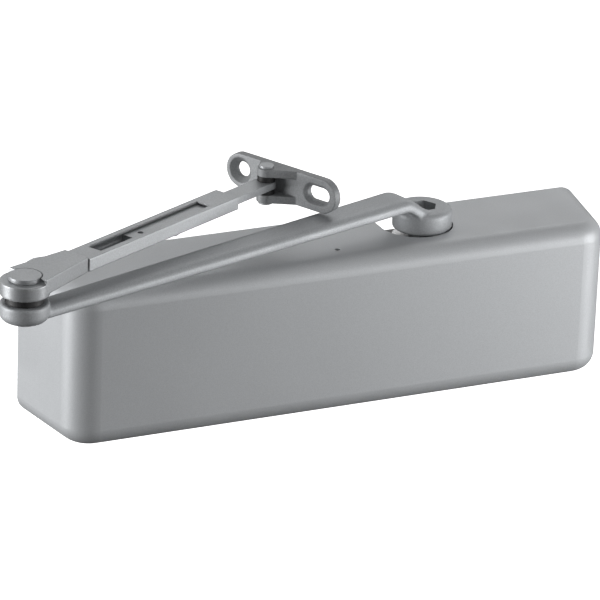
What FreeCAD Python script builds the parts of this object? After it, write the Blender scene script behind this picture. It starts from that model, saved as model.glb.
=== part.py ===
import FreeCAD, Part
import math
import os
import re
import Sketcher

# A surface door closer: a hydraulic body under a full cover, a double lever arm and its foot bracket.
# Millimetres. X runs along the cover, +Y into the door and +Z up. The origin is the middle of the
# body's four mounting holes, on the face that lies against the door.

doc = FreeCAD.newDocument("door_closer")
SHEET = doc.addObject("Spreadsheet::Sheet", "Sizes")
NODES = []

SIZES = [
    # cover
    ("cover_length", 318.0),
    ("cover_end_draft", 9.3),
    ("cover_height", 85.1),
    ("cover_depth", 56.2),
    ("cover_wall", 2.0),
    ("cover_corner_radius", 16.5),
    ("cover_edge_radius", 9.6),
    ("slot_centre", 54.0),
    ("slot_depth", 22.0),
    ("slot_radius", 19.5),
    # gaps between pieces
    ("running_gap", 0.05),
    ("press_gap", 0.01),
    ("swing_gap", 0.4),
    # cast body
    ("bore_radius", 18.0),
    ("bore_wall", 5.0),
    ("bore_depth", 23.0),
    ("body_end_gap", 21.0),
    ("flange_end_gap", 13.0),
    ("flange_height", 63.0),
    ("flange_thickness", 8.0),
    ("lug_length", 30.0),
    ("lug_gap", 2.05),
    ("mount_end_gap", 43.0),
    ("mount_spacing_high", 62.0),
    ("mount_hole_radius", 3.3),
    ("boss_radius", 17.0),
    ("boss_height", 68.0),
    ("post_radius", 5.0),
    ("post_depth", 41.4),
    ("valve_radius", 3.2),
    ("valve_length", 9.6),
    ("valve_boss_lap", 3.0),
    ("valve_boss_radius", 6.0),
    ("valve_boss_length", 8.0),
    ("sweep_place", 104.0),
    ("latch_place", 86.0),
    ("backcheck_place", -30.0),
    # pinion
    ("spindle_place", 57.0),
    ("tooth_module", 1.5),
    ("tooth_count", 12.0),
    ("gear_end_gap", 1.6),
    ("journal_radius", 8.5),
    ("journal_half", 36.0),
    ("hexagon_flats", 13.0),
    ("hexagon_height", 6.4),
    ("spindle_sink", 3.55),
    ("arm_thread_radius", 3.4),
    ("arm_thread_depth", 14.0),
    ("bearing_radius", 11.0),
    ("bearing_inner_end", 18.6),
    ("bearing_outer_end", 27.0),
    ("cap_radius", 13.5),
    ("cap_outer_end", 34.0),
    ("cap_collar_radius", 15.5),
    ("cap_collar_height", 2.0),
    ("seal_radius", 10.6),
    ("seal_height", 4.0),
    # piston and spring
    ("piston_left", 29.0),
    ("piston_length", 78.0),
    ("window_left", 43.0),
    ("window_length", 50.0),
    ("window_gap", 1.2),
    ("rack_tooth_count", 9.0),
    ("ring_place", 34.0),
    ("ring_width", 3.0),
    ("ring_depth", 1.6),
    ("check_valve_radius", 3.5),
    ("spring_wire_radius", 2.8),
    ("spring_side_gap", 2.6),
    ("spring_coils", 14.0),
    ("seat_thickness", 6.0),
    ("seat_spigot_gap", 0.8),
    ("seat_spigot_length", 8.0),
    ("adjuster_radius", 4.0),
    ("adjuster_head_radius", 6.5),
    ("adjuster_head_length", 7.0),
    ("plug_length", 14.0),
    ("plug_ring_inset", 4.0),
    ("plug_ring_radius", 0.85),
    ("plug_socket_radius", 5.0),
    ("plug_socket_depth", 6.0),
    # small cover parts
    ("cover_screw_radius", 1.5),
    ("cover_screw_length", 9.0),
    ("cover_screw_recess", 0.7),
    ("slot_insert_gap", 0.15),
    ("slot_insert_lip", 1.5),
    ("slot_lip_height", 1.2),
    # main arm
    ("arm_length", 263.2),
    ("arm_angle", 196.78),
    ("hub_radius", 15.6),
    ("hub_sink", 1.55),
    ("hub_height", 11.6),
    ("bend_start", 4.0),
    ("bend_end", 16.5),
    ("bend_rise", 10.2),
    ("bar_fall", 2.4),
    ("bar_thickness", 6.4),
    ("bar_width_hub", 21.2),
    ("bar_width_eye", 14.0),
    ("bar_edge_radius", 2.4),
    ("eye_radius", 12.4),
    ("eye_height", 9.8),
    # knuckle
    ("stud_radius", 6.0),
    ("stud_head_radius", 8.1),
    ("stud_head_height", 2.4),
    ("stud_foot_radius", 7.0),
    ("stud_foot_height", 0.9),
    ("bush_radius", 7.5),
    ("washer_radius", 9.6),
    ("washer_height", 4.2),
    # forearm
    ("forearm_angle", 27.0),
    ("forearm_length", 186.0),
    ("elbow_height", 7.2),
    ("elbow_plate_rise", 2.5),
    ("elbow_web_lift", 1.6),
    ("elbow_end", 38.0),
    ("tongue_length", 13.0),
    ("joint_gap", 1.2),
    ("channel_width", 15.0),
    ("channel_lift", 1.4),
    ("channel_end", 154.6),
    ("channel_floor", 1.2),
    ("channel_roof", 1.6),
    ("channel_slot_width", 8.2),
    ("channel_slot_start", 51.4),
    ("channel_slot_end", 135.3),
    ("clamp_slot_start", 63.0),
    ("clamp_slot_end", 144.0),
    ("rod_width", 10.0),
    ("rod_thickness", 3.8),
    ("rod_tip", 78.5),
    ("rod_dimple", 86.5),
    ("rod_dimple_radius", 1.5),
    ("slide_gap", 0.2),
    ("rivet_radius", 1.6),
    ("rivet_first", 42.0),
    ("rivet_pitch", 6.0),
    ("clamp_first", 94.0),
    ("clamp_pitch", 17.0),
    ("clamp_radius", 2.0),
    ("clamp_head_radius", 3.6),
    ("clamp_head_height", 2.6),
    # foot bracket
    ("foot_pin_radius", 2.5),
    ("foot_pin_head_radius", 3.7),
    ("foot_pin_head_height", 1.2),
    ("foot_eye_radius", 5.0),
    ("foot_height", 18.4),
    ("foot_thickness", 4.5),
    ("foot_hole_side", 21.5),
    ("foot_hole_radius", 4.0),
    ("foot_hole_sink", 3.0),
    ("foot_slot_side", 28.9),
    ("foot_slot_length", 6.0),
    ("foot_slot_radius", 3.9),
    ("foot_slot_sink", 1.8),
    ("ear_thickness", 4.3),
    ("ear_nose_radius", 4.8),
    ("ear_root_left", 9.0),
    ("ear_root_right", 17.0),
    ("foot_bush_radius", 4.6),
]

# sizes worked out from the ones above
DERIVED = [
    ("cover_front_length", "cover_length - 2 * cover_end_draft"),
    ("body_length", "cover_length - 2 * body_end_gap"),
    ("flange_length", "cover_length - 2 * flange_end_gap"),
    ("mount_spacing_long", "cover_length - 2 * mount_end_gap"),
    ("lug_height", "cover_height - 2 * cover_wall - 2 * lug_gap"),
    ("hub_bottom", "cover_height / 2 - hub_sink"),
    ("hub_top", "hub_bottom + hub_height"),
    ("spindle_top", "hub_bottom + hexagon_height"),
    ("spindle_bottom", "cover_height / 2 - spindle_sink"),
    ("bar_top_hub", "hub_top + bend_rise"),
    ("bar_top_eye", "bar_top_hub - bar_fall"),
    ("eye_bottom", "bar_top_eye - bar_thickness"),
    ("eye_top", "eye_bottom + eye_height"),
    ("elbow_bottom", "eye_top + washer_height"),
    ("elbow_shoulder", "elbow_bottom + elbow_height"),
    ("elbow_top", "elbow_shoulder + elbow_plate_rise"),
    ("elbow_web_bottom", "elbow_bottom + elbow_web_lift"),
    ("channel_bottom", "elbow_bottom + channel_lift"),
    ("pitch_radius", "tooth_module * tooth_count / 2"),
    ("tooth_pitch", "tooth_module * pi"),
    ("tooth_half_tip", "0.085 * tooth_pitch"),
    ("tooth_half_middle", "0.205 * tooth_pitch"),
    ("tooth_half_root", "0.31 * tooth_pitch"),
    ("gear_root_radius", "pitch_radius - 1.27 * tooth_module"),
    ("gear_tip_radius", "pitch_radius + 0.87 * tooth_module"),
    ("tube_radius", "bore_radius + bore_wall"),
    ("journal_hole", "journal_radius + running_gap"),
    ("hexagon_radius", "hexagon_flats / 3 ^ 0.5"),
    ("piston_radius", "bore_radius - running_gap"),
    ("rack_root", "pitch_radius + 1.15 * tooth_module"),
    ("rack_tip", "pitch_radius - 0.8 * tooth_module"),
    ("rack_half_tip", "0.1 * tooth_pitch"),
    ("gear_height", "2 * sqrt(piston_radius ^ 2 - (rack_root + 1) ^ 2) - 2 * gear_end_gap"),
    ("plug_radius", "bore_radius - press_gap"),
    ("window_front", "gear_tip_radius + window_gap"),
    ("spring_radius", "bore_radius - spring_side_gap"),
    ("seat_spigot_radius", "spring_radius - 2 * spring_wire_radius - seat_spigot_gap"),
    ("spring_end", "piston_left - running_gap"),
    ("spring_start", "seat_thickness + plug_length - body_length / 2 + running_gap"),
    ("valve_boss_back", "0.5 + valve_boss_lap - bore_depth - bore_radius - bore_wall"),
    ("post_half", "cover_height / 2 - cover_wall - swing_gap"),
    ("rod_bottom", "channel_bottom + channel_floor + slide_gap"),
    ("rod_top", "rod_bottom + rod_thickness"),
    ("rod_middle", "rod_bottom + rod_thickness / 2"),
    ("cavity_half", "rod_width / 2 + slide_gap"),
    ("cavity_top", "rod_top + slide_gap"),
    ("channel_top", "cavity_top + channel_roof"),
    ("tongue_half", "rod_width / 2 - press_gap"),
    ("plate_face", "foot_eye_radius + swing_gap"),
    ("ear_inner", "foot_height / 2 - ear_thickness"),
]

FUNCTIONS = ("cos", "sin")


def sheet_names(text):
    """Point every plain word of an expression at the sheet's cell of that name."""
    def refer(found):
        word = found.group(0)
        return word if word in FUNCTIONS else "Sizes." + word
    return re.sub(r"[a-z][a-z_]+", refer, text)


def fill_sheet():
    row = 1
    for name, value in SIZES:
        SHEET.set("A%d" % row, name)
        SHEET.set("B%d" % row, str(value))
        SHEET.setAlias("B%d" % row, name)
        row += 1
    doc.recompute()
    for name, rule in DERIVED:
        SHEET.set("A%d" % row, name)
        SHEET.set("B%d" % row, "=" + rule)
        SHEET.setAlias("B%d" % row, name)
        row += 1
    doc.recompute()


def bind(thing, **rules):
    """Bind properties to expressions; double underscores stand for the dots of a property path."""
    for path, rule in rules.items():
        thing.setExpression(path.replace("__", "."), sheet_names(str(rule)))


def node(thing, name):
    """Name a finished sub-part, and list it for export."""
    thing.Label = name
    NODES.append(thing)
    return thing


def place(thing, x="0", y="0", z="0"):
    bind(thing, Placement__Base__x=x, Placement__Base__y=y, Placement__Base__z=z)


# ---------------------------------------------------------------- sketches and body features

def new_body(name):
    body = doc.addObject("PartDesign::Body", name + "_body")
    return node(body, name)


def new_sketch(body, plane, name, offset=None):
    sketch = body.newObject("Sketcher::SketchObject", name)
    role = plane + "_Plane"
    origin_plane = [one for one in body.Origin.OriginFeatures if one.Role == role][0]
    sketch.AttachmentSupport = [(origin_plane, "")]
    sketch.MapMode = "FlatFace"
    if offset is not None:
        bind(sketch, AttachmentOffset__Base__z=offset)
    return sketch


def fix_point(sketch, line, end, x, y):
    """Hold one end of a line at a place given by two expressions."""
    for kind, rule in (("DistanceX", x), ("DistanceY", y)):
        index = sketch.addConstraint(Sketcher.Constraint(kind, -1, 1, line, end, 1.0))
        sketch.setExpression("Constraints[%d]" % index, sheet_names(rule))


def polygon(sketch, corners):
    """Closed outline of straight lines through the corners, each corner a pair of expressions."""
    count = len(corners)
    start = sketch.GeometryCount
    turn = [FreeCAD.Vector(math.cos(2 * math.pi * n / count), math.sin(2 * math.pi * n / count), 0)
            for n in range(count)]
    for n in range(count):
        sketch.addGeometry(Part.LineSegment(turn[n], turn[(n + 1) % count]), False)
    for n in range(count):
        after = start + (n + 1) % count
        sketch.addConstraint(Sketcher.Constraint("Coincident", start + n, 2, after, 1))
    for n, (x, y) in enumerate(corners):
        fix_point(sketch, start + n, 1, x, y)


def box_corners(left, right, low, high):
    return [(left, low), (right, low), (right, high), (left, high)]


def round_hole(sketch, x, y, radius):
    index = sketch.addGeometry(
        Part.Circle(FreeCAD.Vector(1, 1, 0), FreeCAD.Vector(0, 0, 1), 1.0), False)
    fix_point(sketch, index, 3, x, y)
    size = sketch.addConstraint(Sketcher.Constraint("Radius", index, 1.0))
    sketch.setExpression("Constraints[%d]" % size, sheet_names(radius))


def pad(body, sketch, name, length, both_ways=False):
    feature = body.newObject("PartDesign::Pad", name)
    feature.Profile = sketch
    bind(feature, Length=length)
    if both_ways:
        feature.SideType = "Symmetric"
    return feature


def pocket(body, sketch, name, length=None, both_ways=False, reverse=False):
    """Cut along the sketch's normal: a given length, or through everything."""
    feature = body.newObject("PartDesign::Pocket", name)
    feature.Profile = sketch
    if both_ways:
        feature.SideType = "Symmetric"
    feature.Reversed = reverse
    if length is None:
        feature.Type = "ThroughAll"
    else:
        bind(feature, Length=length)
    return feature


def dress(body, kind, name, base, edges, **rules):
    """Fillet or chamfer the named edges of the feature made last."""
    feature = body.newObject("PartDesign::" + kind, name)
    feature.Base = (base, edges)
    bind(feature, **rules)
    return feature


def edges_where(feature, test):
    """Names of the edges whose every sampled point passes the test."""
    doc.recompute()
    found = []
    for number, edge in enumerate(feature.Shape.Edges, 1):
        points = edge.discretize(5)
        if all(test(point, edge) for point in points):
            found.append("Edge%d" % number)
    return found


def value(name):
    return float(SHEET.get(name))


# ---------------------------------------------------------------- plain turned pieces

AXIS_TURN = {
    "X": FreeCAD.Rotation(FreeCAD.Vector(0, 1, 0), 90),
    "Y": FreeCAD.Rotation(FreeCAD.Vector(1, 0, 0), 90),
    "Z": FreeCAD.Rotation(),
}


def rod(name, axis, radius, length, x="0", y="0", z="0"):
    """Cylinder from a point along +X, -Y or +Z."""
    made = doc.addObject("Part::Cylinder", name)
    made.Placement = FreeCAD.Placement(FreeCAD.Vector(0, 0, 0), AXIS_TURN[axis])
    bind(made, Radius=radius, Height=length)
    place(made, x, y, z)
    return made


def block(name, x, y, z, length, width, height):
    made = doc.addObject("Part::Box", name)
    bind(made, Length=length, Width=width, Height=height)
    place(made, x, y, z)
    return made


def hexagon(name, axis, flats, length, x="0", y="0", z="0"):
    """Six-sided prism along +X, -Y or +Z, its size given across the flats."""
    made = doc.addObject("Part::Prism", name)
    made.Polygon = 6
    made.Placement = FreeCAD.Placement(FreeCAD.Vector(0, 0, 0), AXIS_TURN[axis])
    bind(made, Circumradius="(%s) / 3 ^ 0.5" % flats, Height=length)
    place(made, x, y, z)
    return made


def join(name, pieces):
    made = doc.addObject("Part::MultiFuse", name)
    made.Shapes = pieces
    return made


def cut(name, base, tools):
    made = doc.addObject("Part::Cut", name)
    made.Base = base
    made.Tool = tools[0] if len(tools) == 1 else join(name + "_tools", tools)
    return made


def ring(name, axis, outer, inner, length, x="0", y="0", z="0"):
    outside = rod(name + "_outside", axis, outer, length, x, y, z)
    inside = rod(name + "_inside", axis, inner, length, x, y, z)
    return node(cut(name + "_ring", outside, [inside]), name)


# ---------------------------------------------------------------- cover

def make_cover():
    """Bent and drawn shell, open at the back, slotted for the spindle above and below."""
    body = new_body("cover")
    plan = new_sketch(body, "XY", "cover_plan")
    polygon(plan, [("cover_length / 2", "0"), ("-cover_length / 2", "0"),
                   ("-cover_front_length / 2", "-cover_depth"),
                   ("cover_front_length / 2", "-cover_depth")])
    shell = pad(body, plan, "cover_block", "cover_height", both_ways=True)
    depth = value("cover_depth")
    high = value("cover_height") / 2
    corners = edges_where(shell, lambda p, e: p.y < 1 - depth and e.Vertexes[0].X == e.Vertexes[-1].X
                          and abs(e.Vertexes[0].Z - e.Vertexes[-1].Z) > high)
    round_corners = dress(body, "Fillet", "cover_corners", shell, corners,
                          Radius="cover_corner_radius")
    rims = edges_where(round_corners, lambda p, e: abs(abs(p.z) - high) < 0.01
                       and not (abs(e.Vertexes[0].Y) < 0.01 and abs(e.Vertexes[-1].Y) < 0.01))
    edges = dress(body, "Fillet", "cover_edges", round_corners, rims, Radius="cover_edge_radius")
    doc.recompute()
    back = [number for number, face in enumerate(edges.Shape.Faces, 1)
            if face.BoundBox.YMin > -0.01]
    hollow = body.newObject("PartDesign::Thickness", "cover_hollow")
    hollow.Base = (edges, ["Face%d" % back[0]])
    hollow.Reversed = True
    bind(hollow, Value="cover_wall")
    ends = new_sketch(body, "XY", "slot_end")
    round_hole(ends, "slot_centre", "-slot_depth", "slot_radius")
    pocket(body, ends, "slot_ends", both_ways=True)
    sides = new_sketch(body, "XY", "slot_side")
    polygon(sides, box_corners("slot_centre - slot_radius", "slot_centre + slot_radius",
                               "-slot_depth", "1"))
    pocket(body, sides, "slot_sides", both_ways=True)
    holes = new_sketch(body, "XY", "screw_hole")
    round_hole(holes, "0", "-post_depth", "cover_screw_radius + running_gap")
    pocket(body, holes, "screw_holes", both_ways=True)


def make_slot_insert():
    """Moulded plug for the spare slot under the cover."""
    low = "-cover_height / 2"
    edge = "slot_radius - slot_insert_gap"
    skin = [rod("plug_round", "Z", edge, "cover_wall", "slot_centre", "-slot_depth", low),
            block("plug_square", "slot_centre - slot_radius + slot_insert_gap", "-slot_depth", low,
                  "2 * (slot_radius - slot_insert_gap)", "slot_depth", "cover_wall")]
    inside = low + " + cover_wall + running_gap"
    lip = [rod("plug_lip_round", "Z", "slot_radius + slot_insert_lip", "slot_lip_height",
               "slot_centre", "-slot_depth", inside),
           block("plug_lip_square", "slot_centre - slot_radius - slot_insert_lip", "-slot_depth",
                 inside, "2 * (slot_radius + slot_insert_lip)", "slot_depth",
                 "slot_lip_height")]
    neck = rod("plug_neck", "Z", "slot_radius - 2", "cover_wall + 0.4", "slot_centre",
               "-slot_depth", low)
    node(join("plug_solid", skin + lip + [neck]), "spindle_plug")


def make_cover_screws():
    """Two socket set screws that pin the cover to the body's posts."""
    length = "cover_screw_length"
    screws = []
    for side, low in (("top", "cover_height / 2 - cover_screw_recess - cover_screw_length"),
                      ("bottom", "cover_screw_recess - cover_height / 2")):
        shank = rod("set_screw_" + side, "Z", "cover_screw_radius", length, "0", "-post_depth", low)
        start = low if side == "bottom" else low + " + cover_screw_length - 1.5"
        socket = hexagon("set_socket_" + side, "Z", "1.5", "1.5", "0", "-post_depth", start)
        screws.append(cut("set_" + side, shank, [socket]))
    pair = doc.addObject("Part::Compound", "set_screws")
    pair.Links = screws
    node(pair, "cover_screws")


# ---------------------------------------------------------------- closer body

def make_closer_body():
    """Iron casting: cylinder tube, mounting flange, spindle boss, cover posts and valve bosses."""
    solids = [
        rod("tube", "X", "tube_radius", "body_length", "-body_length / 2", "-bore_depth"),
        block("flange", "-flange_length / 2", "-flange_thickness", "-flange_height / 2",
              "flange_length", "flange_thickness", "flange_height"),
        block("saddle", "-body_length / 2", "-bore_depth", "-tube_radius",
              "body_length", "bore_depth - 1", "2 * tube_radius"),
        rod("spindle_boss", "Z", "boss_radius", "boss_height", "spindle_place", "-bore_depth",
            "-boss_height / 2"),
        rod("cover_posts", "Z", "post_radius", "2 * post_half", "0", "-post_depth", "-post_half"),
    ]
    cuts = [
        rod("bore", "X", "bore_radius", "body_length + 2", "-body_length / 2 - 1", "-bore_depth"),
        rod("spindle_bore", "Z", "bearing_radius", "boss_height + 2", "spindle_place",
            "-bore_depth", "-boss_height / 2 - 1"),
        rod("screw_bore", "Z", "cover_screw_radius + running_gap", "2 * post_half + 2", "0",
            "-post_depth", "-post_half - 1"),
    ]
    for side, low in (("upper", "bearing_outer_end"), ("lower", "-cap_outer_end - 1")):
        cuts.append(rod("cap_seat_" + side, "Z", "cap_radius + press_gap",
                        "cap_outer_end - bearing_outer_end + 1", "spindle_place",
                        "-bore_depth", low))
    for valve in ("sweep", "latch", "backcheck"):
        at = valve + "_place"
        solids.append(rod(valve + "_boss", "Y", "valve_boss_radius", "valve_boss_length", at,
                          "valve_boss_back"))
        cuts.append(rod(valve + "_hole", "Y", "valve_radius + running_gap", "valve_length + 6", at,
                        "0.3 - bore_depth - bore_radius"))
    for across in (-1, 1):
        solids.append(block("lugs", "%d * mount_spacing_long / 2 - lug_length / 2" % across,
                            "-flange_thickness", "-lug_height / 2",
                            "lug_length", "flange_thickness", "lug_height"))
        for up in (-1, 1):
            cuts.append(rod("mount_hole", "Y", "mount_hole_radius", "flange_thickness + 2",
                            "%d * mount_spacing_long / 2" % across, "1",
                            "%d * mount_spacing_high / 2" % up))
    casting = join("casting", solids)
    node(cut("casting_machined", casting, cuts), "closer_body")


def make_valves():
    """Slotted needle valves that screw in from the front."""
    for valve in ("sweep", "latch", "backcheck"):
        at = valve + "_place"
        tip = "-bore_depth - bore_radius - 0.4"
        stem = rod(valve + "_stem", "Y", "valve_radius", "valve_length", at, tip)
        slot = block(valve + "_slot", at + " - valve_radius", tip + " - valve_length", "-0.5",
                     "2 * valve_radius", "1.4", "1")
        node(cut(valve + "_cut", stem, [slot]), valve + "_valve")


# ---------------------------------------------------------------- spindle

def make_pinion():
    """Spindle: twelve gear teeth in the middle, a journal each side and a hexagon at each end."""
    body = new_body("pinion")
    root = new_sketch(body, "XY", "gear_root")
    round_hole(root, "0", "0", "gear_root_radius")
    pad(body, root, "gear_core", "gear_height", both_ways=True)
    tooth = new_sketch(body, "XY", "gear_tooth")
    inside = "gear_root_radius - 1"
    polygon(tooth, [(inside, "-tooth_half_root"), ("pitch_radius", "-tooth_half_middle"),
                    ("gear_tip_radius", "-tooth_half_tip"), ("gear_tip_radius", "tooth_half_tip"),
                    ("pitch_radius", "tooth_half_middle"), (inside, "tooth_half_root")])
    teeth = pad(body, tooth, "gear_teeth", "gear_height", both_ways=True)
    pattern = body.newObject("PartDesign::PolarPattern", "gear_round")
    pattern.Originals = [teeth]
    pattern.Axis = (root, ["N_Axis"])
    pattern.Angle = 360
    bind(pattern, Occurrences="tooth_count")
    body.Tip = pattern
    for side, sign in (("upper", 1), ("lower", -1)):
        start = "gear_height / 2" if sign > 0 else "-journal_half"
        journal = new_sketch(body, "XY", "journal_" + side, offset=start)
        round_hole(journal, "0", "0", "journal_radius")
        pad(body, journal, "journal_pad_" + side, "journal_half - gear_height / 2")
    for side, start, length in (("upper", "journal_half", "spindle_top - journal_half"),
                                ("lower", "-spindle_bottom", "spindle_bottom - journal_half")):
        end = new_sketch(body, "XY", "drive_" + side, offset=start)
        polygon(end, [("hexagon_radius * cos(%d)" % turn, "hexagon_radius * sin(%d)" % turn)
                      for turn in range(0, 360, 60)])
        pad(body, end, "drive_pad_" + side, length)
    thread = new_sketch(body, "XY", "arm_thread", offset="spindle_top")
    round_hole(thread, "0", "0", "arm_thread_radius")
    pocket(body, thread, "arm_thread_hole", "arm_thread_depth")
    place(body, "spindle_place", "-bore_depth")


def make_spindle_fittings():
    """Bearing, threaded ring and oil seal, the same above and below."""
    seal_low = "cap_outer_end - seal_height - 1"
    for side, sign in (("upper", 1), ("lower", -1)):
        def low(near, length):
            return near if sign > 0 else "-(%s) - (%s)" % (near, length)
        where = {"x": "spindle_place", "y": "-bore_depth"}
        length = "bearing_outer_end - bearing_inner_end - press_gap"
        ring("pinion_bearing_" + side, "Z", "bearing_radius - press_gap", "journal_hole", length,
             z=low("bearing_inner_end", length), **where)
        depth = "cap_outer_end - bearing_outer_end"
        thread = rod("cap_thread_" + side, "Z", "cap_radius", depth,
                     z=low("bearing_outer_end", depth), **where)
        collar = rod("cap_collar_" + side, "Z", "cap_collar_radius", "cap_collar_height",
                     z=low("cap_outer_end", "cap_collar_height"), **where)
        hole_length = depth + " + cap_collar_height"
        hole = rod("cap_hole_" + side, "Z", "journal_hole + 0.1", hole_length,
                   z=low("bearing_outer_end", hole_length), **where)
        seat = rod("cap_groove_" + side, "Z", "seal_radius + press_gap", "seal_height",
                   z=low(seal_low, "seal_height"), **where)
        solid = join("cap_solid_" + side, [thread, collar])
        node(cut("cap_cut_" + side, solid, [hole, seat]), "pinion_cap_" + side)
        ring("pinion_seal_" + side, "Z", "seal_radius", "journal_hole", "seal_height - 0.1",
             z=low(seal_low + " + 0.05", "seal_height - 0.1"), **where)


# ---------------------------------------------------------------- piston and spring

def make_piston():
    """Steel piston: a window for the pinion, with the rack along the window's door side."""
    body = new_body("piston")
    face = new_sketch(body, "YZ", "piston_face", offset="piston_left")
    round_hole(face, "0", "0", "piston_radius")
    pad(body, face, "piston_blank", "piston_length")
    window = new_sketch(body, "XY", "window_plan")
    polygon(window, box_corners("window_left", "window_left + window_length", "-window_front",
                                "rack_root"))
    pocket(body, window, "window", both_ways=True)
    tooth = new_sketch(body, "XY", "rack_tooth")
    middle = "spindle_place - 1.5 * tooth_pitch"
    polygon(tooth, [(middle + " - tooth_half_root", "rack_root + 1"),
                    (middle + " - tooth_half_middle", "pitch_radius"),
                    (middle + " - rack_half_tip", "rack_tip"),
                    (middle + " + rack_half_tip", "rack_tip"),
                    (middle + " + tooth_half_middle", "pitch_radius"),
                    (middle + " + tooth_half_root", "rack_root + 1")])
    teeth = pad(body, tooth, "rack_teeth", "gear_height - 1", both_ways=True)
    pattern = body.newObject("PartDesign::LinearPattern", "rack_row")
    pattern.Originals = [teeth]
    pattern.Direction = (tooth, ["H_Axis"])
    bind(pattern, Length="(rack_tooth_count - 1) * tooth_pitch", Occurrences="rack_tooth_count")
    body.Tip = pattern
    valve = new_sketch(body, "YZ", "check_hole", offset="piston_left + piston_length")
    round_hole(valve, "0", "0", "check_valve_radius + press_gap")
    pocket(body, valve, "check_bore", "piston_left + piston_length - window_left - window_length + 1")
    outline = new_sketch(body, "XY", "ring_groove_outline")
    polygon(outline, box_corners("ring_place", "ring_place + ring_width",
                                 "bore_radius - ring_depth", "bore_radius + 1"))
    groove = body.newObject("PartDesign::Groove", "ring_groove")
    groove.Profile = outline
    groove.ReferenceAxis = (outline, ["H_Axis"])
    groove.Angle = 360
    place(body, "0", "-bore_depth")


def make_piston_fittings():
    ring("piston_ring", "X", "piston_radius + running_gap / 2", "bore_radius - ring_depth + 0.02",
         "ring_width - 0.1", "ring_place + 0.05", "-bore_depth")
    length = "piston_left + piston_length - window_left - window_length"
    start = "window_left + window_length"
    shell = rod("check_shell", "X", "check_valve_radius", length, start, "-bore_depth")
    port = rod("check_port", "X", "check_valve_radius / 2.5", length, start, "-bore_depth")
    node(cut("check_cut", shell, [port]), "check_valve")


def make_spring():
    """Round wire coil with its ends ground flat."""
    helix = doc.addObject("Part::Helix", "spring_helix")
    helix.Placement = FreeCAD.Placement(FreeCAD.Vector(0, 0, 0), AXIS_TURN["X"])
    bind(helix, Radius="spring_radius - spring_wire_radius",
         Pitch="(spring_end - spring_start) / spring_coils",
         Height="spring_end - spring_start")
    place(helix, "spring_start", "-bore_depth")
    section = doc.addObject("Part::Circle", "spring_section")
    section.Placement = FreeCAD.Placement(FreeCAD.Vector(0, 0, 0), AXIS_TURN["Y"])
    bind(section, Radius="spring_wire_radius")
    place(section, "spring_start", "-bore_depth", "-(spring_radius - spring_wire_radius)")
    wire = doc.addObject("Part::Sweep", "spring_wire")
    wire.Sections = [section]
    wire.Spine = (helix, ["Edge1"])
    wire.Solid = True
    wire.Frenet = True
    envelope = rod("spring_envelope", "X", "spring_radius + 1", "spring_end - spring_start",
                   "spring_start", "-bore_depth")
    ground = doc.addObject("Part::MultiCommon", "spring_ground")
    ground.Shapes = [wire, envelope]
    node(ground, "main_spring")


def make_spring_support():
    """Seat plate with its spigot, and the hexagon-headed screw that turns against it."""
    wall = "plug_length - body_length / 2"
    plate = rod("seat_plate", "X", "bore_radius - 0.5", "seat_thickness", wall, "-bore_depth")
    spigot = rod("seat_spigot", "X", "seat_spigot_radius", "seat_spigot_length",
                 wall + " + seat_thickness", "-bore_depth")
    thread = rod("seat_thread", "X", "adjuster_radius + running_gap",
                 "seat_thickness + seat_spigot_length", wall, "-bore_depth")
    solid = join("seat_solid", [plate, spigot])
    node(cut("seat_cut", solid, [thread]), "spring_seat")
    reach = "plug_length + seat_thickness + seat_spigot_length - 2"
    shank = rod("adjuster_shank", "X", "adjuster_radius", reach, "-body_length / 2", "-bore_depth")
    head_start = "-body_length / 2 - adjuster_head_length - 0.1"
    head = rod("adjuster_head", "X", "adjuster_head_radius", "adjuster_head_length + 0.1",
               head_start, "-bore_depth")
    socket = hexagon("adjuster_socket", "X", "6", "4", head_start, "-bore_depth")
    clearance = ring_tool("adjuster_relief")
    node(cut("adjuster_cut", join("adjuster_solid", [shank, head]), [socket, clearance]),
         "spring_adjuster")


def ring_tool(name):
    """Thin disc that leaves the adjuster's head just clear of the plug."""
    outside = rod(name + "_outside", "X", "adjuster_head_radius + 1", "0.1",
                  "-body_length / 2 - 0.1", "-bore_depth")
    inside = rod(name + "_inside", "X", "adjuster_radius", "0.1",
                 "-body_length / 2 - 0.1", "-bore_depth")
    return cut(name, outside, [inside])


def make_end_plugs():
    """Threaded plugs with an O-ring each; the left one lets the adjuster through."""
    for side, start, groove in (
            ("left", "-body_length / 2", "plug_length - plug_ring_inset - body_length / 2"),
            ("right", "body_length / 2 - plug_length",
             "body_length / 2 - plug_length + plug_ring_inset")):
        plug = rod("plug_" + side, "X", "plug_radius", "plug_length", start, "-bore_depth")
        width = "2 * plug_ring_radius + 0.1"
        at = groove + " - plug_ring_radius - 0.05"
        outside = rod("groove_outside_" + side, "X", "bore_radius + 1", width, at, "-bore_depth")
        inside = rod("groove_inside_" + side, "X", "plug_radius - 2 * plug_ring_radius", width, at,
                     "-bore_depth")
        tools = [cut("plug_groove_" + side, outside, [inside])]
        if side == "left":
            tools.append(rod("plug_bore_left", "X", "adjuster_radius + running_gap", "plug_length",
                             start, "-bore_depth"))
        else:
            tools.append(hexagon("plug_socket_right", "X", "2 * plug_socket_radius",
                                 "plug_socket_depth",
                                 "body_length / 2 - plug_socket_depth", "-bore_depth"))
        node(cut("plug_cut_" + side, plug, tools), "end_plug_" + side)
        seal = doc.addObject("Part::Torus", "ring_" + side)
        seal.Placement = FreeCAD.Placement(FreeCAD.Vector(0, 0, 0), AXIS_TURN["X"])
        bind(seal, Radius1="plug_radius - plug_ring_radius + 0.005",
             Radius2="plug_ring_radius")
        place(seal, groove, "-bore_depth")
        node(seal, "end_ring_" + side)


# ---------------------------------------------------------------- main arm and knuckle

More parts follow.
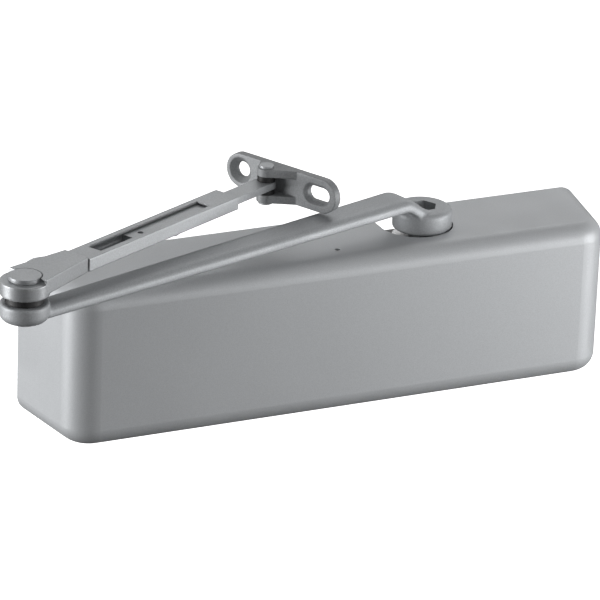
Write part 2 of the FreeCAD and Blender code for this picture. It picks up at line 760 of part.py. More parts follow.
def make_main_arm():
    """Forged arm, drawn along +X from the spindle: hub ring, steep bend, tapered bar and eye."""
    body = new_body("main_arm")
    plan = new_sketch(body, "XY", "bar_plan", offset="hub_bottom")
    polygon(plan, [("bend_start", "-bar_width_hub / 2"), ("arm_length", "-bar_width_eye / 2"),
                   ("arm_length", "bar_width_eye / 2"), ("bend_start", "bar_width_hub / 2")])
    pad(body, plan, "bar_blank", "bar_top_hub - hub_bottom + 4")
    above = new_sketch(body, "XZ", "bar_top_side")
    polygon(above, [("bend_start - 1", "hub_top - 0.8"), ("bend_start", "hub_top - 0.8"),
                    ("bend_end", "bar_top_hub"), ("arm_length + 1", "bar_top_eye"),
                    ("arm_length + 1", "bar_top_hub + 9"), ("bend_start - 1", "bar_top_hub + 9")])
    pocket(body, above, "bar_top", both_ways=True)
    below = new_sketch(body, "XZ", "bar_under_side")
    polygon(below, [("bend_start - 1", "hub_bottom - 1"), ("arm_length + 1", "hub_bottom - 1"),
                    ("arm_length + 1", "bar_top_eye - bar_thickness"),
                    ("bend_end + 2", "bar_top_hub - bar_thickness"),
                    ("bend_start + 5", "hub_top - 3"), ("bend_start - 1", "hub_top - 3")])
    under = pocket(body, below, "bar_under", both_ways=True)
    far = value("arm_length") / 2
    long_edges = edges_where(under, lambda p, e:
                             abs(e.Vertexes[0].X - e.Vertexes[-1].X) > far)
    dress(body, "Fillet", "bar_edges", under, long_edges, Radius="bar_edge_radius")
    hub = new_sketch(body, "XY", "hub_plan", offset="hub_bottom")
    round_hole(hub, "0", "0", "hub_radius")
    pad(body, hub, "hub", "hub_top - hub_bottom")
    eye = new_sketch(body, "XY", "eye_plan", offset="eye_bottom")
    round_hole(eye, "arm_length", "0", "eye_radius")
    pad(body, eye, "eye", "eye_top - eye_bottom")
    drive = new_sketch(body, "XY", "hub_hexagon", offset="hub_top + 12")
    size = "(hexagon_radius + running_gap)"
    polygon(drive, [(size + " * cos(%d - arm_angle)" % turn, size + " * sin(%d - arm_angle)" % turn)
                    for turn in range(0, 360, 60)])
    pocket(body, drive, "hub_hole")
    stud = new_sketch(body, "XY", "eye_hole_plan", offset="eye_top + 1")
    round_hole(stud, "arm_length", "0", "stud_radius + press_gap")
    pocket(body, stud, "eye_hole")
    place(body, "spindle_place", "-bore_depth")
    bind(body, Placement__Rotation__Angle="arm_angle")


def on_forearm(thing):
    """Turn a piece drawn along +X to the forearm's direction, and move it to the knuckle."""
    place(thing, "spindle_place + arm_length * cos(arm_angle)",
          "arm_length * sin(arm_angle) - bore_depth")
    bind(thing, Placement__Rotation__Angle="forearm_angle")


def grouped(name, pieces):
    """One node of several equal solids."""
    group = doc.addObject("Part::Compound", name + "_group")
    group.Links = pieces
    return node(group, name)


def make_knuckle():
    """Stud riveted in the main arm's eye, with the washer below the elbow and the elbow's sleeve."""
    shank = rod("stud_shank", "Z", "stud_radius", "elbow_top - eye_bottom", z="eye_bottom")
    head = rod("stud_head", "Z", "stud_head_radius", "stud_head_height",
               z="elbow_top - stud_head_height")
    foot = rod("stud_foot", "Z", "stud_foot_radius", "stud_foot_height",
               z="eye_bottom - stud_foot_height")
    on_forearm(node(join("stud", [shank, head, foot]), "knuckle_stud"))
    on_forearm(ring("knuckle_washer", "Z", "washer_radius", "stud_radius + running_gap",
                    "elbow_bottom - eye_top - running_gap", z="eye_top"))
    on_forearm(ring("knuckle_bush", "Z", "bush_radius", "stud_radius + running_gap",
                    "elbow_shoulder - elbow_bottom - 0.1", z="elbow_bottom + 0.02"))


# ---------------------------------------------------------------- forearm

def make_elbow():
    """Round boss, a web that narrows to the channel, and the tongue inside the channel."""
    body = new_body("forearm_elbow")
    boss = new_sketch(body, "XY", "boss_plan", offset="elbow_bottom")
    round_hole(boss, "0", "0", "eye_radius")
    pad(body, boss, "boss", "elbow_shoulder - elbow_bottom")
    web = new_sketch(body, "XY", "web_plan", offset="elbow_web_bottom")
    polygon(web, [("2", "0.2 - eye_radius"), ("elbow_end", "-channel_width / 2"),
                  ("elbow_end", "channel_width / 2"), ("2", "eye_radius - 0.2")])
    pad(body, web, "web", "elbow_top - elbow_web_bottom")
    tongue = new_sketch(body, "XY", "tongue_plan", offset="rod_bottom")
    polygon(tongue, box_corners("elbow_end - 1", "elbow_end + tongue_length", "-tongue_half",
                                "tongue_half"))
    pad(body, tongue, "tongue", "rod_thickness")
    head = new_sketch(body, "XY", "head_pocket_plan", offset="elbow_top + 1")
    round_hole(head, "0", "0", "stud_head_radius + swing_gap")
    pocket(body, head, "head_pocket", "elbow_top + 1 - elbow_shoulder")
    bore = new_sketch(body, "XY", "bush_bore_plan", offset="elbow_top + 1")
    round_hole(bore, "0", "0", "bush_radius + press_gap")
    pocket(body, bore, "bush_bore")
    rivets = new_sketch(body, "XY", "rivet_plan", offset="elbow_top + 1")
    for number in range(2):
        round_hole(rivets, "rivet_first + %d * rivet_pitch" % number, "0",
                   "rivet_radius + press_gap")
    pocket(body, rivets, "rivet_holes")
    on_forearm(body)


def make_channel():
    """Steel channel: a cavity for the rod, a long slot in the top and a clamp slot in the floor."""
    body = new_body("forearm_channel")
    start = "elbow_end + joint_gap"
    outside = new_sketch(body, "XY", "channel_plan", offset="channel_bottom")
    polygon(outside, box_corners(start, "channel_end", "-channel_width / 2", "channel_width / 2"))
    pad(body, outside, "channel_block", "channel_top - channel_bottom")
    cavity = new_sketch(body, "YZ", "cavity_section", offset="channel_end")
    polygon(cavity, box_corners("-cavity_half", "cavity_half", "channel_bottom + channel_floor",
                                "cavity_top"))
    pocket(body, cavity, "cavity")
    slot = new_sketch(body, "XY", "slot_plan", offset="channel_top")
    polygon(slot, box_corners("channel_slot_start", "channel_slot_end", "-channel_slot_width / 2",
                              "channel_slot_width / 2"))
    pocket(body, slot, "slot", "channel_top - rod_middle")
    floor = new_sketch(body, "XY", "floor_plan", offset="rod_middle")
    polygon(floor, box_corners("clamp_slot_start", "clamp_slot_end",
                               "-clamp_radius - slide_gap", "clamp_radius + slide_gap"))
    for number in range(2):
        round_hole(floor, "rivet_first + %d * rivet_pitch" % number, "0",
                   "rivet_radius + press_gap")
    pocket(body, floor, "floor_openings")
    on_forearm(body)


def make_rod():
    """Flat bar with a round eye at the foot and two tapped holes for the clamp screws."""
    body = new_body("forearm_rod")
    plan = new_sketch(body, "XY", "rod_plan", offset="rod_bottom")
    polygon(plan, box_corners("rod_tip", "forearm_length", "-rod_width / 2", "rod_width / 2"))
    pad(body, plan, "rod_bar", "rod_thickness")
    eye = new_sketch(body, "XY", "rod_eye_plan", offset="rod_bottom")
    round_hole(eye, "forearm_length", "0", "foot_eye_radius")
    pad(body, eye, "rod_eye", "rod_thickness")
    pin = new_sketch(body, "XY", "rod_holes_plan", offset="rod_top")
    round_hole(pin, "forearm_length", "0", "foot_pin_radius + running_gap")
    pocket(body, pin, "rod_pin_hole")
    dimple = new_sketch(body, "XY", "rod_dimple_plan", offset="rod_top")
    round_hole(dimple, "rod_dimple", "0", "rod_dimple_radius")
    pocket(body, dimple, "rod_dimple_hole", "rod_thickness / 2")
    taps = new_sketch(body, "XY", "rod_tap_plan", offset="rod_bottom")
    for number in range(2):
        round_hole(taps, "clamp_first + %d * clamp_pitch" % number, "0",
                   "clamp_radius + press_gap")
    pocket(body, taps, "rod_taps", "rod_thickness - 0.6", reverse=True)
    on_forearm(body)


def make_forearm_fasteners():
    rivets = []
    screws = []
    for number in range(2):
        at = "rivet_first + %d * rivet_pitch" % number
        rivets.append(rod("rivet", "Z", "rivet_radius", "rod_top - channel_bottom", at,
                          z="channel_bottom"))
        at = "clamp_first + %d * clamp_pitch" % number
        shank = rod("clamp_shank", "Z", "clamp_radius",
                    "rod_top - 0.8 - channel_bottom + clamp_head_height", at,
                    z="channel_bottom - clamp_head_height - running_gap")
        head = rod("clamp_head", "Z", "clamp_head_radius", "clamp_head_height", at,
                   z="channel_bottom - clamp_head_height - running_gap")
        socket = hexagon("clamp_socket", "Z", "2.5", "1.6", at,
                         z="channel_bottom - clamp_head_height - running_gap")
        screws.append(cut("clamp_screw", join("clamp_solid", [shank, head]), [socket]))
    on_forearm(grouped("elbow_rivets", rivets))
    on_forearm(grouped("clamp_screws", screws))


# ---------------------------------------------------------------- foot

def at_foot(thing, z="0"):
    """Turn a piece drawn about the foot pin to the forearm's direction, and move it there."""
    place(thing, "spindle_place + arm_length * cos(arm_angle) + forearm_length * cos(forearm_angle)",
          "arm_length * sin(arm_angle) + forearm_length * sin(forearm_angle) - bore_depth", z)
    bind(thing, Placement__Rotation__Angle="forearm_angle")


def make_foot_bracket():
    """Long plate across the forearm's end, a round hole and a slot in it, and two ears."""
    body = new_body("foot_bracket")
    end_left = "foot_hole_side"
    end_right = "-foot_slot_side - foot_slot_length / 2"
    plate = new_sketch(body, "YZ", "plate_plan", offset="plate_face")
    polygon(plate, box_corners(end_right, end_left, "-foot_height / 2", "foot_height / 2"))
    pad(body, plate, "plate", "foot_thickness")
    for side, middle in (("left", end_left), ("right", end_right)):
        end = new_sketch(body, "YZ", "plate_end_" + side, offset="plate_face")
        round_hole(end, middle, "0", "foot_height / 2")
        pad(body, end, "plate_round_" + side, "foot_thickness")
    for side, low in (("upper", "ear_inner"), ("lower", "-foot_height / 2")):
        nose = new_sketch(body, "XY", "ear_nose_" + side, offset=low)
        round_hole(nose, "0", "0", "ear_nose_radius")
        pad(body, nose, "ear_round_" + side, "ear_thickness")
        ear = new_sketch(body, "XY", "ear_plan_" + side, offset=low)
        root = "plate_face + 1"
        polygon(ear, [("-ear_nose_radius * 0.6", "ear_nose_radius * 0.8"),
                      ("-ear_nose_radius * 0.6", "-ear_nose_radius * 0.8"),
                      (root, "-ear_root_right"), (root, "ear_root_left")])
        pad(body, ear, "ear_" + side, "ear_thickness")
    holes = new_sketch(body, "YZ", "round_hole_plan", offset="plate_face")
    round_hole(holes, end_left, "0", "foot_hole_radius")
    pocket(body, holes, "round_hole", "foot_thickness + 1", reverse=True)
    slot = new_sketch(body, "YZ", "slot_middle_plan", offset="plate_face")
    polygon(slot, box_corners("-foot_slot_side - foot_slot_length / 2",
                              "foot_slot_length / 2 - foot_slot_side",
                              "-foot_slot_radius", "foot_slot_radius"))
    pocket(body, slot, "slot_middle", "foot_thickness + 1", reverse=True)
    last = None
    for side, sign in (("left", 1), ("right", -1)):
        end = new_sketch(body, "YZ", "slot_end_" + side, offset="plate_face")
        round_hole(end, "%d * foot_slot_length / 2 - foot_slot_side" % sign, "0",
                   "foot_slot_radius")
        last = pocket(body, end, "slot_round_" + side, "foot_thickness + 1", reverse=True)
    face = value("foot_eye_radius") + value("swing_gap")
    hole_at = value("foot_hole_side")
    slot_at = -value("foot_slot_side")
    reach = value("foot_slot_length") / 2 + value("foot_slot_radius") + 0.1
    front = edges_where(last, lambda p, e: abs(p.x - face) < 0.01
                        and math.hypot(p.y - hole_at, p.z) < value("foot_hole_radius") + 0.1)
    sunk = dress(body, "Chamfer", "round_hole_sink", last, front, Size="foot_hole_sink")
    front = edges_where(sunk, lambda p, e: abs(p.x - face) < 0.01 and abs(p.y - slot_at) < reach
                        and abs(p.z) < value("foot_slot_radius") + 0.1)
    dress(body, "Chamfer", "slot_sink", sunk, front, Size="foot_slot_sink")
    pin = new_sketch(body, "XY", "pin_hole_plan", offset="foot_height")
    round_hole(pin, "0", "0", "foot_pin_radius + press_gap")
    pocket(body, pin, "pin_hole")
    at_foot(body, "rod_middle")


def make_foot_fittings():
    """Riveted pin through the ears, and the two spacers that centre the rod between them."""
    shank = rod("pin_shank", "Z", "foot_pin_radius", "foot_height + 2 * foot_pin_head_height",
                z="-foot_height / 2 - foot_pin_head_height")
    heads = [rod("pin_head_top", "Z", "foot_pin_head_radius", "foot_pin_head_height",
                 z="foot_height / 2"),
             rod("pin_head_bottom", "Z", "foot_pin_head_radius", "foot_pin_head_height",
                 z="-foot_height / 2 - foot_pin_head_height")]
    at_foot(node(join("foot_pin_solid", [shank] + heads), "foot_pin"), "rod_middle")
    bushes = []
    height = "ear_inner - rod_thickness / 2 - running_gap"
    for side, low in (("top", "rod_thickness / 2 + running_gap"), ("bottom", "-ear_inner")):
        outside = rod("spacer_outside_" + side, "Z", "foot_bush_radius", height, z=low)
        inside = rod("spacer_inside_" + side, "Z", "foot_pin_radius + running_gap", height, z=low)
        bushes.append(cut("spacer_" + side, outside, [inside]))
    at_foot(grouped("foot_bushes", bushes), "rod_middle")


# ---------------------------------------------------------------- build, test and write

fill_sheet()
make_cover()
make_slot_insert()
make_cover_screws()
make_closer_body()
make_valves()
make_pinion()
make_spindle_fittings()
make_piston()
make_piston_fittings()
make_spring()
make_spring_support()
make_end_plugs()
make_main_arm()
make_knuckle()
make_elbow()
make_channel()
make_rod()
make_forearm_fasteners()
make_foot_bracket()
make_foot_fittings()
doc.recompute()

for thing in doc.Objects:
    if "Invalid" in thing.State or "Error" in thing.State:
        raise SystemExit("%s did not compute: %s" % (thing.Name, thing.State))

os.makedirs("parts", exist_ok=True)
for piece in NODES:
    shape = piece.Shape
    if shape.isNull() or not shape.isValid() or shape.Volume <= 0:
        raise SystemExit("%s has no sound shape" % piece.Label)
    shape.exportStep(os.path.join("parts", piece.Label + ".step"))
print("wrote %d sub-parts" % len(NODES))
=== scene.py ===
import math

import bmesh
import bpy
from mathutils import Matrix, Vector


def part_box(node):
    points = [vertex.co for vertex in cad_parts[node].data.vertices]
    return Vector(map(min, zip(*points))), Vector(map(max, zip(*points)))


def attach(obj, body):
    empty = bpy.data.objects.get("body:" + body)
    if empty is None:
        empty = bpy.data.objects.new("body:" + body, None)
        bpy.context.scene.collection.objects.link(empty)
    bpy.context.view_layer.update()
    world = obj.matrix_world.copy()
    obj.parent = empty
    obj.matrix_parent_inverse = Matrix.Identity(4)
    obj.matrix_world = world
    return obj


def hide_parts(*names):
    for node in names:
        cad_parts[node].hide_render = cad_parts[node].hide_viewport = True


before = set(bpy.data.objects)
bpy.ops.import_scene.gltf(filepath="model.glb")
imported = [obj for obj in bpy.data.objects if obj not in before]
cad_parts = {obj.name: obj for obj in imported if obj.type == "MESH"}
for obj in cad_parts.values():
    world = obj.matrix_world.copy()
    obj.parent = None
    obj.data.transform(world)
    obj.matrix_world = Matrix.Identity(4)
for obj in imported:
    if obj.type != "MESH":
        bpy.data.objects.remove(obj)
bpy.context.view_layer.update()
MM = 0.001


# ---- Cover --------------------------------------------------------------------------------------
# One drawn sheet steel box, open at the back and slotted for the spindle. It is sprayed with a
# silver-grey metallic coat, baked to a soft satin with fine flake in it.

def new_material(name):
    """Empty material, with the nodes and links that its shader is built from."""
    material = bpy.data.materials.new(name)
    material.use_nodes = True
    return material, material.node_tree.nodes, material.node_tree.links


def grain(nodes, links, scale, detail, stretch=(1, 1, 1)):
    """Noise in the piece's own metres, so that its grain keeps its size on every piece."""
    place = nodes.new("ShaderNodeTexCoord")
    mapping = nodes.new("ShaderNodeMapping")
    mapping.inputs["Scale"].default_value = stretch
    noise = nodes.new("ShaderNodeTexNoise")
    noise.inputs["Scale"].default_value = scale
    noise.inputs["Detail"].default_value = detail
    links.new(place.outputs["Object"], mapping.inputs["Vector"])
    links.new(mapping.outputs["Vector"], noise.inputs["Vector"])
    return noise


def between(nodes, links, noise, low, high):
    """Colours from low to high across the middle of a noise."""
    ramp = nodes.new("ShaderNodeValToRGB")
    ramp.color_ramp.elements[0].position = 0.36
    ramp.color_ramp.elements[0].color = low
    ramp.color_ramp.elements[1].position = 0.64
    ramp.color_ramp.elements[1].color = high
    links.new(noise.outputs["Fac"], ramp.inputs["Fac"])
    return ramp


def shade(level, cool=0.0):
    """Grey of a given level, made cooler by a share of it."""
    return (level * (1 - cool), level, level * (1 + cool), 1.0)


DRIFT_SCALE = 35.0
GLOSS_SPREAD = 0.035
PEEL_SHARE = 0.45
PEEL_DEPTH = 0.03


def coated(name, dark, light, roughness, metallic, flake_scale, peel, cool=0.01,
           stretch=(1, 1, 1)):
    """Metal or paint: fine colour grain, slow drift of the gloss, and a shallow bump."""
    material, nodes, links = new_material(name)
    shader = nodes["Principled BSDF"]
    shader.inputs["Metallic"].default_value = metallic
    flake = grain(nodes, links, flake_scale, 2.0, stretch)
    colour = between(nodes, links, flake, shade(dark, cool), shade(light, cool))
    links.new(colour.outputs["Color"], shader.inputs["Base Color"])
    drift = grain(nodes, links, DRIFT_SCALE, 3.0, stretch)
    gloss = between(nodes, links, drift, shade(roughness - GLOSS_SPREAD),
                    shade(roughness + GLOSS_SPREAD))
    links.new(gloss.outputs["Color"], shader.inputs["Roughness"])
    orange_peel = grain(nodes, links, flake_scale * PEEL_SHARE, 2.0, stretch)
    bump = nodes.new("ShaderNodeBump")
    bump.inputs["Strength"].default_value = peel
    bump.inputs["Distance"].default_value = PEEL_DEPTH * MM
    links.new(orange_peel.outputs["Fac"], bump.inputs["Height"])
    links.new(bump.outputs["Normal"], shader.inputs["Normal"])
    return material


def finish(material, *names):
    """Give CAD nodes their finish."""
    for name in names:
        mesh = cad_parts[name].data
        mesh.materials.clear()
        mesh.materials.append(material)


cover_paint = coated("silver_cover_paint", 0.46, 0.52, 0.50, 0.22, 2300.0, 0.22, 0.03)
finish(cover_paint, "cover")


# ---- Small cover parts --------------------------------------------------------------------------
# Two zinc plated set screws pin the cover to the body. A moulded grey insert closes the spare slot
# underneath.

zinc_plate = coated("zinc_plate", 0.46, 0.58, 0.34, 0.9, 1400.0, 0.2)
insert_plastic = coated("grey_insert_plastic", 0.30, 0.33, 0.5, 0.0, 1900.0, 0.35)
finish(zinc_plate, "cover_screws")
finish(insert_plastic, "spindle_plug")


# ---- Cast body ----------------------------------------------------------------------------------
# Iron casting with a rough sand-cast skin, in a thin dark primer. Zinc plated plugs and bearing
# rings and brass valve stems screw into it.

cast_skin = coated("cast_iron_skin", 0.10, 0.17, 0.6, 0.3, 700.0, 0.9)
finish(cast_skin, "closer_body")
finish(zinc_plate, "end_plug_left", "end_plug_right", "pinion_cap_upper", "pinion_cap_lower",
       "spring_adjuster")
valve_brass, nodes, links = new_material("turned_brass")
shader = nodes["Principled BSDF"]
shader.inputs["Metallic"].default_value = 1.0
turning = grain(nodes, links, 1500.0, 2.0)
colour = between(nodes, links, turning, (0.55, 0.38, 0.14, 1), (0.68, 0.50, 0.22, 1))
links.new(colour.outputs["Color"], shader.inputs["Base Color"])
gloss = between(nodes, links, turning, shade(0.28), shade(0.38))
links.new(gloss.outputs["Color"], shader.inputs["Roughness"])
finish(valve_brass, "sweep_valve", "latch_valve", "backcheck_valve", "check_valve",
       "knuckle_bush")


# ---- Inside the bore ----------------------------------------------------------------------------
# Ground steel piston and pinion, an oiled coil spring, and rubber seals.

ground_steel = coated("ground_steel", 0.42, 0.54, 0.3, 1.0, 1300.0, 0.25, 0.01, (0.2, 3, 3))
finish(ground_steel, "piston", "pinion", "pinion_bearing_upper", "pinion_bearing_lower",
       "spring_seat")
spring_wire = coated("oiled_spring_wire", 0.10, 0.16, 0.3, 0.9, 1100.0, 0.3)
finish(spring_wire, "main_spring")
seal_rubber = coated("black_seal_rubber", 0.012, 0.02, 0.6, 0.0, 900.0, 0.5)
finish(seal_rubber, "end_ring_left", "end_ring_right", "piston_ring", "pinion_seal_upper",
       "pinion_seal_lower")


# ---- Main arm -----------------------------------------------------------------------------------
# One steel forging: a hub ring on the spindle's hexagon, a steep bend up and a long flat bar with
# full round edges, and an eye for the knuckle. It has a smooth coat of blue-grey enamel.

def middle(node):
    """Centre of a CAD node's box, in metres."""
    low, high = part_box(node)
    return (low + high) / 2


def piece(name, mesh, material, body, place, stands_for):
    """Put a finished mesh in the scene in place of a CAD node, riding on that node's body."""
    mesh.transform(place)
    made = bpy.data.objects.new(name, mesh)
    bpy.context.scene.collection.objects.link(made)
    mesh.materials.clear()
    mesh.materials.append(material)
    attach(made, body)
    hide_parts(stands_for)
    return made


def lathe(bm, profile, centre_x, steps=96):
    """Solid of revolution about the upright line at centre_x; profile is radius and height."""
    rings = []
    for radius, height in profile:
        ring = []
        for step in range(steps):
            turn = 2 * math.pi * step / steps
            ring.append(bm.verts.new((centre_x + radius * math.cos(turn),
                                      radius * math.sin(turn), height)))
        rings.append(ring)
    for lower, upper in zip(rings, rings[1:]):
        for step in range(steps):
            after = (step + 1) % steps
            bm.faces.new((lower[step], lower[after], upper[after], upper[step]))
    bm.faces.new(list(reversed(rings[0])))
    bm.faces.new(rings[-1])


def rounded_rim(outer, low, high, low_round, high_round, steps=8):
    """Profile of a disc with rounded lower and upper rims."""
    points = []
    for step in range(steps + 1):
        turn = math.pi / 2 * step / steps
        points.append((outer - low_round + low_round * math.sin(turn),
                       low + low_round - low_round * math.cos(turn)))
    for step in range(steps + 1):
        turn = math.pi / 2 * step / steps
        points.append((outer - high_round + high_round * math.cos(turn),
                       high - high_round + high_round * math.sin(turn)))
    return points


def ease(value):
    """Smooth rise from 0 to 1 as value goes from 0 to 1."""
    value = min(1.0, max(0.0, value))
    return value * value * (3 - 2 * value)


def bar_section(half_width, half_thickness, shoulder, foot_round, steps=7):
    """Outline of a flat bar, across and up: broad round shoulders above, small rounds below."""
    points = []
    for side_x, side_z, begin in ((1, 1, 0), (-1, 1, 90), (-1, -1, 180), (1, -1, 270)):
        width, height = (foot_round, foot_round)
        if side_z > 0:
            width, height = shoulder
        for step in range(steps + 1):
            turn = math.radians(begin + 90 * step / steps)
            points.append((side_x * (half_width - width) + width * math.cos(turn),
                           side_z * (half_thickness - height) + height * math.sin(turn)))
    return points


def skin(bm, rings):
    """Walls between closed rings of points, with the two ends capped."""
    made = [[bm.verts.new(point) for point in ring] for ring in rings]
    count = len(made[0])
    for first, second in zip(made, made[1:]):
        for n in range(count):
            after = (n + 1) % count
            bm.faces.new((first[n], first[after], second[after], second[n]))
    bm.faces.new(list(reversed(made[0])))
    bm.faces.new(made[-1])


def to_mesh(bm, name):
    """Finished mesh of a bmesh, with its faces turned outwards."""
    bmesh.ops.recalc_face_normals(bm, faces=bm.faces)
    mesh = bpy.data.meshes.new(name)
    bm.to_mesh(mesh)
    bm.free()
    return mesh


def evaluated(mesh, name, *modifiers):
    """The mesh after a list of modifiers, each a type and its settings."""
    holder = bpy.data.objects.new(name, mesh)
    bpy.context.scene.collection.objects.link(holder)
    for kind, settings in modifiers:
        modifier = holder.modifiers.new(kind, kind)
        for key, value in settings.items():
            setattr(modifier, key, value)
    view = bpy.context.evaluated_depsgraph_get()
    result = bpy.data.meshes.new_from_object(holder.evaluated_get(view))
    result.name = name
    bpy.data.objects.remove(holder)
    return result


def prism(sides, radius, low, high, centre_x=0.0, turn=0.0):
    """Upright cutter with the given number of sides, in metres."""
    bm = bmesh.new()
    rings = []
    for height in (low, high):
        rings.append([(centre_x + radius * math.cos(turn + 2 * math.pi * n / sides),
                       radius * math.sin(turn + 2 * math.pi * n / sides), height)
                      for n in range(sides)])
    skin(bm, rings)
    return to_mesh(bm, "cutter")


def bored(mesh, cutters, name):
    """Cut holes in a mesh."""
    for cutter in cutters:
        tool = bpy.data.objects.new("tool", cutter)
        bpy.context.scene.collection.objects.link(tool)
        mesh = evaluated(mesh, name, ("BOOLEAN", {"object": tool, "operation": "DIFFERENCE",
                                                   "solver": "EXACT"}))
        bpy.data.objects.remove(tool)
    return mesh


arm_enamel = coated("blue_grey_enamel", 0.37, 0.43, 0.44, 0.5, 1500.0, 0.3, 0.03)
forged_enamel = coated("forged_arm_enamel", 0.38, 0.44, 0.55, 0.3, 1300.0, 0.45, 0.035)

hub_at = middle("pinion")
knuckle_at = middle("knuckle_stud")
arm_low, arm_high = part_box("main_arm")
arm_reach = math.hypot(knuckle_at.x - hub_at.x, knuckle_at.y - hub_at.y) / MM
heading = math.atan2(knuckle_at.y - hub_at.y, knuckle_at.x - hub_at.x)

# sizes in millimetres, with x along the arm from the hub and heights above the part's origin
HUB_RADIUS = 15.6
HUB_TOP = 52.6
HUB_UPPER_ROUND = 3.0
HUB_LOWER_ROUND = 1.0
EYE_RADIUS = 12.4
EYE_LOW = 54.0
EYE_UPPER_ROUND = 1.0
EYE_LOWER_ROUND = 4.2
BAR_THICKNESS = 6.2
BAR_HALF_WIDTH = 10.4
BAR_NARROWING = 3.4
BAR_SHOULDER = (4.6, 3.8)
BAR_FOOT = 0.8
CREST = 62.3
EYE_END = 60.35
RAMP_START = 1.0
RAMP_LENGTH = 19.0
RAMP_STEP = 1.2
RAMP_END = RAMP_START + RAMP_LENGTH
HUB_FLARE = 4.0
HUB_FLARE_START = -1.0
HUB_FLARE_LENGTH = 12.0
DRIVE_FLATS = 13.1
STUD_HOLE_RADIUS = 6.01
GRAIN_SIZE = 0.5


def ramp_top(x):
    """Height of the bar's top above the hub's ring, before the slow fall towards the eye."""
    return HUB_TOP + (CREST - HUB_TOP) * ease((x - RAMP_START) / RAMP_LENGTH)


def arm_ring(x):
    """Outline of the bar at x, square to its own middle line."""
    fall = max(0.0, x - RAMP_END) / (arm_reach - RAMP_END)
    top = ramp_top(x) - (CREST - EYE_END) * fall
    tilt = math.atan2(ramp_top(x + 0.1) - ramp_top(x - 0.1), 0.2)
    flare = 1 - ease((x - HUB_FLARE_START) / HUB_FLARE_LENGTH)
    half_width = BAR_HALF_WIDTH + HUB_FLARE * flare - BAR_NARROWING * fall
    outline = bar_section(half_width, BAR_THICKNESS / 2, BAR_SHOULDER, BAR_FOOT)
    return [(x - above * math.sin(tilt), across, top - BAR_THICKNESS / 2 + above * math.cos(tilt))
            for across, above in outline]


bm = bmesh.new()
lathe(bm, rounded_rim(HUB_RADIUS, arm_low.z / MM, HUB_TOP, HUB_LOWER_ROUND, HUB_UPPER_ROUND), 0)
lathe(bm, rounded_rim(EYE_RADIUS, EYE_LOW, arm_high.z / MM, EYE_LOWER_ROUND, EYE_UPPER_ROUND),
      arm_reach)
inside_hub = [-4, -2, 0]
up_the_ramp = [RAMP_STEP * step for step in range(1, 18)]
along_the_bar = [26, 60, 140, arm_reach - 4]
skin(bm, [arm_ring(x) for x in inside_hub + up_the_ramp + along_the_bar])
bmesh.ops.scale(bm, vec=(MM, MM, MM), verts=bm.verts)
forging = evaluated(to_mesh(bm, "rough_forging"), "forging",
                    ("REMESH", {"mode": "VOXEL", "voxel_size": GRAIN_SIZE * MM}),
                    ("SMOOTH", {"factor": 0.6, "iterations": 12}))
drive_hole = prism(6, DRIVE_FLATS / math.sqrt(3) * MM, 0.03, 0.08, 0.0, -heading)
stud_hole = prism(64, STUD_HOLE_RADIUS * MM, 0.045, 0.07, arm_reach * MM)
forging = bored(forging, [drive_hole, stud_hole], "main_arm_forging")
forging.shade_smooth()
arm_place = Matrix.Translation((hub_at.x, hub_at.y, 0)) @ Matrix.Rotation(heading, 4, "Z")
main_arm = piece("main_arm_forging", forging, forged_enamel, "spindle", arm_place,
                 "main_arm")
main_arm.modifiers.new("edges", "WEIGHTED_NORMAL")


# ---- Knuckle ------------------------------------------------------------------------------------
# Turned steel stud with a flat head let into the elbow, running in a brass sleeve, over a black
# nylon washer that keeps the two arms apart.

def crisp(name, width, rounds=3):
    """Break the sharp edges of a CAD piece without changing its mesh."""
    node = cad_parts[name]
    weld = node.modifiers.new("weld", "WELD")
    weld.merge_threshold = 0.001 * MM
    bevel = node.modifiers.new("broken_edges", "BEVEL")
    bevel.width = width * MM
    bevel.segments = rounds
    bevel.limit_method = "ANGLE"
    bevel.angle_limit = math.radians(40)
    node.modifiers.new("shading", "WEIGHTED_NORMAL")


def softened(name, material, body, voxel, rounds):
    """Fine copy of a CAD piece with its edges eased, as a forging or a heavy pressing has."""
    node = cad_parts[name]
    mesh = evaluated(node.data.copy(), name + "_surface",
                     ("REMESH", {"mode": "VOXEL", "voxel_size": voxel * MM}),
                     ("SMOOTH", {"factor": 0.6, "iterations": rounds}))
    mesh.shade_smooth()
    piece(name + "_surface", mesh, material, body, node.matrix_world.copy(), name)


black_nylon = coated("black_nylon", 0.012, 0.02, 0.5, 0.0, 900.0, 0.3)
finish(black_nylon, "knuckle_washer", "foot_bushes")
finish(arm_enamel, "knuckle_stud")
crisp("knuckle_stud", 0.35)


# ---- Forearm ------------------------------------------------------------------------------------
# A forged elbow with a round boss is riveted into a steel channel. A flat bar slides in the
# channel and is clamped from below by two socket screws.

softened("forearm_elbow", arm_enamel, "forearm", 0.34, 7)
softened("forearm_channel", arm_enamel, "forearm", 0.3, 4)
finish(arm_enamel, "forearm_rod")
crisp("forearm_rod", 0.4)
finish(zinc_plate, "elbow_rivets", "clamp_screws")


# ---- Foot bracket -------------------------------------------------------------------------------
# Pressed steel plate with a countersunk hole, a sunk slot and two ears, coloured as the arms'
# enamel made darker, which is painted shade. A riveted pin holds the forearm's eye between two
# black nylon spacers.

# the arms' enamel made darker for the foot: painted shade on its front faces, not a different coat
shade_darkened_foot_enamel = coated("shade_darkened_foot_enamel", 0.24, 0.29, 0.58, 0.3, 1300.0, 0.45, 0.03)
softened("foot_bracket", shade_darkened_foot_enamel, "foot", 0.32, 4)
finish(arm_enamel, "foot_pin")
crisp("foot_pin", 0.3)


# ---- Studio -------------------------------------------------------------------------------------
# White paper well below the closer, which shines evenly and sends no light onto it, and seven
# soft lamps round it. The world is black, so the lamps give all the light.

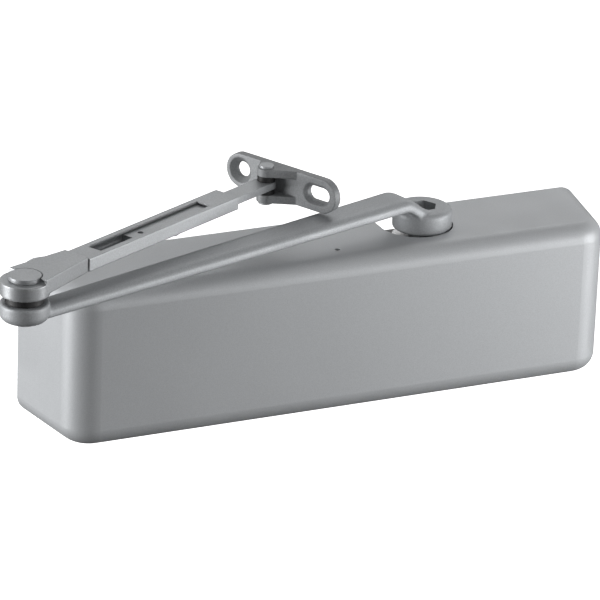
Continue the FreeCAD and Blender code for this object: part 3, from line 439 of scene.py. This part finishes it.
def soft_light(name, place, aim, width, power, height):
    """Rectangular lamp with its face turned to aim."""
    data = bpy.data.lights.new(name, "AREA")
    data.shape = "RECTANGLE"
    data.energy = power
    data.size = width
    data.size_y = height
    lamp = bpy.data.objects.new(name, data)
    lamp.location = place
    direction = Vector(aim) - Vector(place)
    lamp.rotation_euler = direction.to_track_quat("-Z", "Y").to_euler()
    bpy.context.scene.collection.objects.link(lamp)


paper, nodes, links = new_material("white_paper")
shader = nodes["Principled BSDF"]
shader.inputs["Base Color"].default_value = (0.9, 0.9, 0.9, 1)
shader.inputs["Roughness"].default_value = 0.9
shader.inputs["Emission Color"].default_value = (1, 1, 1, 1)
shader.inputs["Emission Strength"].default_value = 1.0
FLOOR_DROP = -0.35
corners = [(-4, -4), (4, -4), (4, 6), (-4, 6)]
floor_mesh = bpy.data.meshes.new("floor")
floor_mesh.from_pydata([(x, y, FLOOR_DROP) for x, y in corners], [], [(0, 1, 2, 3)])
floor_mesh.materials.append(paper)
floor = bpy.data.objects.new("floor", floor_mesh)
bpy.context.scene.collection.objects.link(floor)
for reach in ("visible_diffuse", "visible_glossy", "visible_transmission", "visible_shadow"):
    setattr(floor, reach, False)

world = bpy.data.worlds.new("studio")
world.use_nodes = True
world.node_tree.nodes["Background"].inputs["Color"].default_value = (1, 1, 1, 1)
world.node_tree.nodes["Background"].inputs["Strength"].default_value = 0.0
bpy.context.scene.world = world

LAMP_AIM = (0.05, 0, 0)
lamps = (
    # name, place and width in metres, power in watts, height in metres
    ("beside_left_end", (-1.3, 0.22, 0.05), 0.6, 18.5, 0.8),
    ("close_right", (0.62, -0.46, 0.02), 0.45, 4.7, 0.5),
    ("front_right", (0.3, -1.4, 0.1), 1.0, 4.1, 0.9),
    ("above", (0.0, 0.0, 1.2), 1.3, 1.9, 1.3),
    ("above_back", (0.1, 0.9, 0.8), 1.6, 5.6, 0.9),
    ("above_front", (0.1, -0.8, 1.1), 1.2, 2.0, 0.9),
    ("behind_right", (1.0, 0.8, 0.7), 0.9, 2.5, 0.9),
)
for name, place, width, power, height in lamps:
    soft_light(name, place, LAMP_AIM, width, power, height)

# a long lens, high and to the left of the closer's front, a little rolled
CAMERA_PLACE = Vector((-0.99328, -2.10469, 0.96677))
CAMERA_RIGHT = Vector((0.91015, -0.41271, 0.03603))
CAMERA_UP = Vector((0.1285, 0.3639, 0.9225))
camera_data = bpy.data.cameras.new("camera")
camera_data.lens = 288.60
camera_data.sensor_width = 36.0
camera_data.clip_end = 50.0
camera = bpy.data.objects.new("camera", camera_data)
right = CAMERA_RIGHT.normalized()
back = right.cross(CAMERA_UP.normalized()).normalized()
up = back.cross(right)
camera.matrix_world = Matrix((
    (right.x, up.x, back.x, CAMERA_PLACE.x),
    (right.y, up.y, back.y, CAMERA_PLACE.y),
    (right.z, up.z, back.z, CAMERA_PLACE.z),
    (0, 0, 0, 1)))
bpy.context.scene.collection.objects.link(camera)
bpy.context.scene.camera = camera
bpy.context.scene.view_settings.view_transform = "Standard"
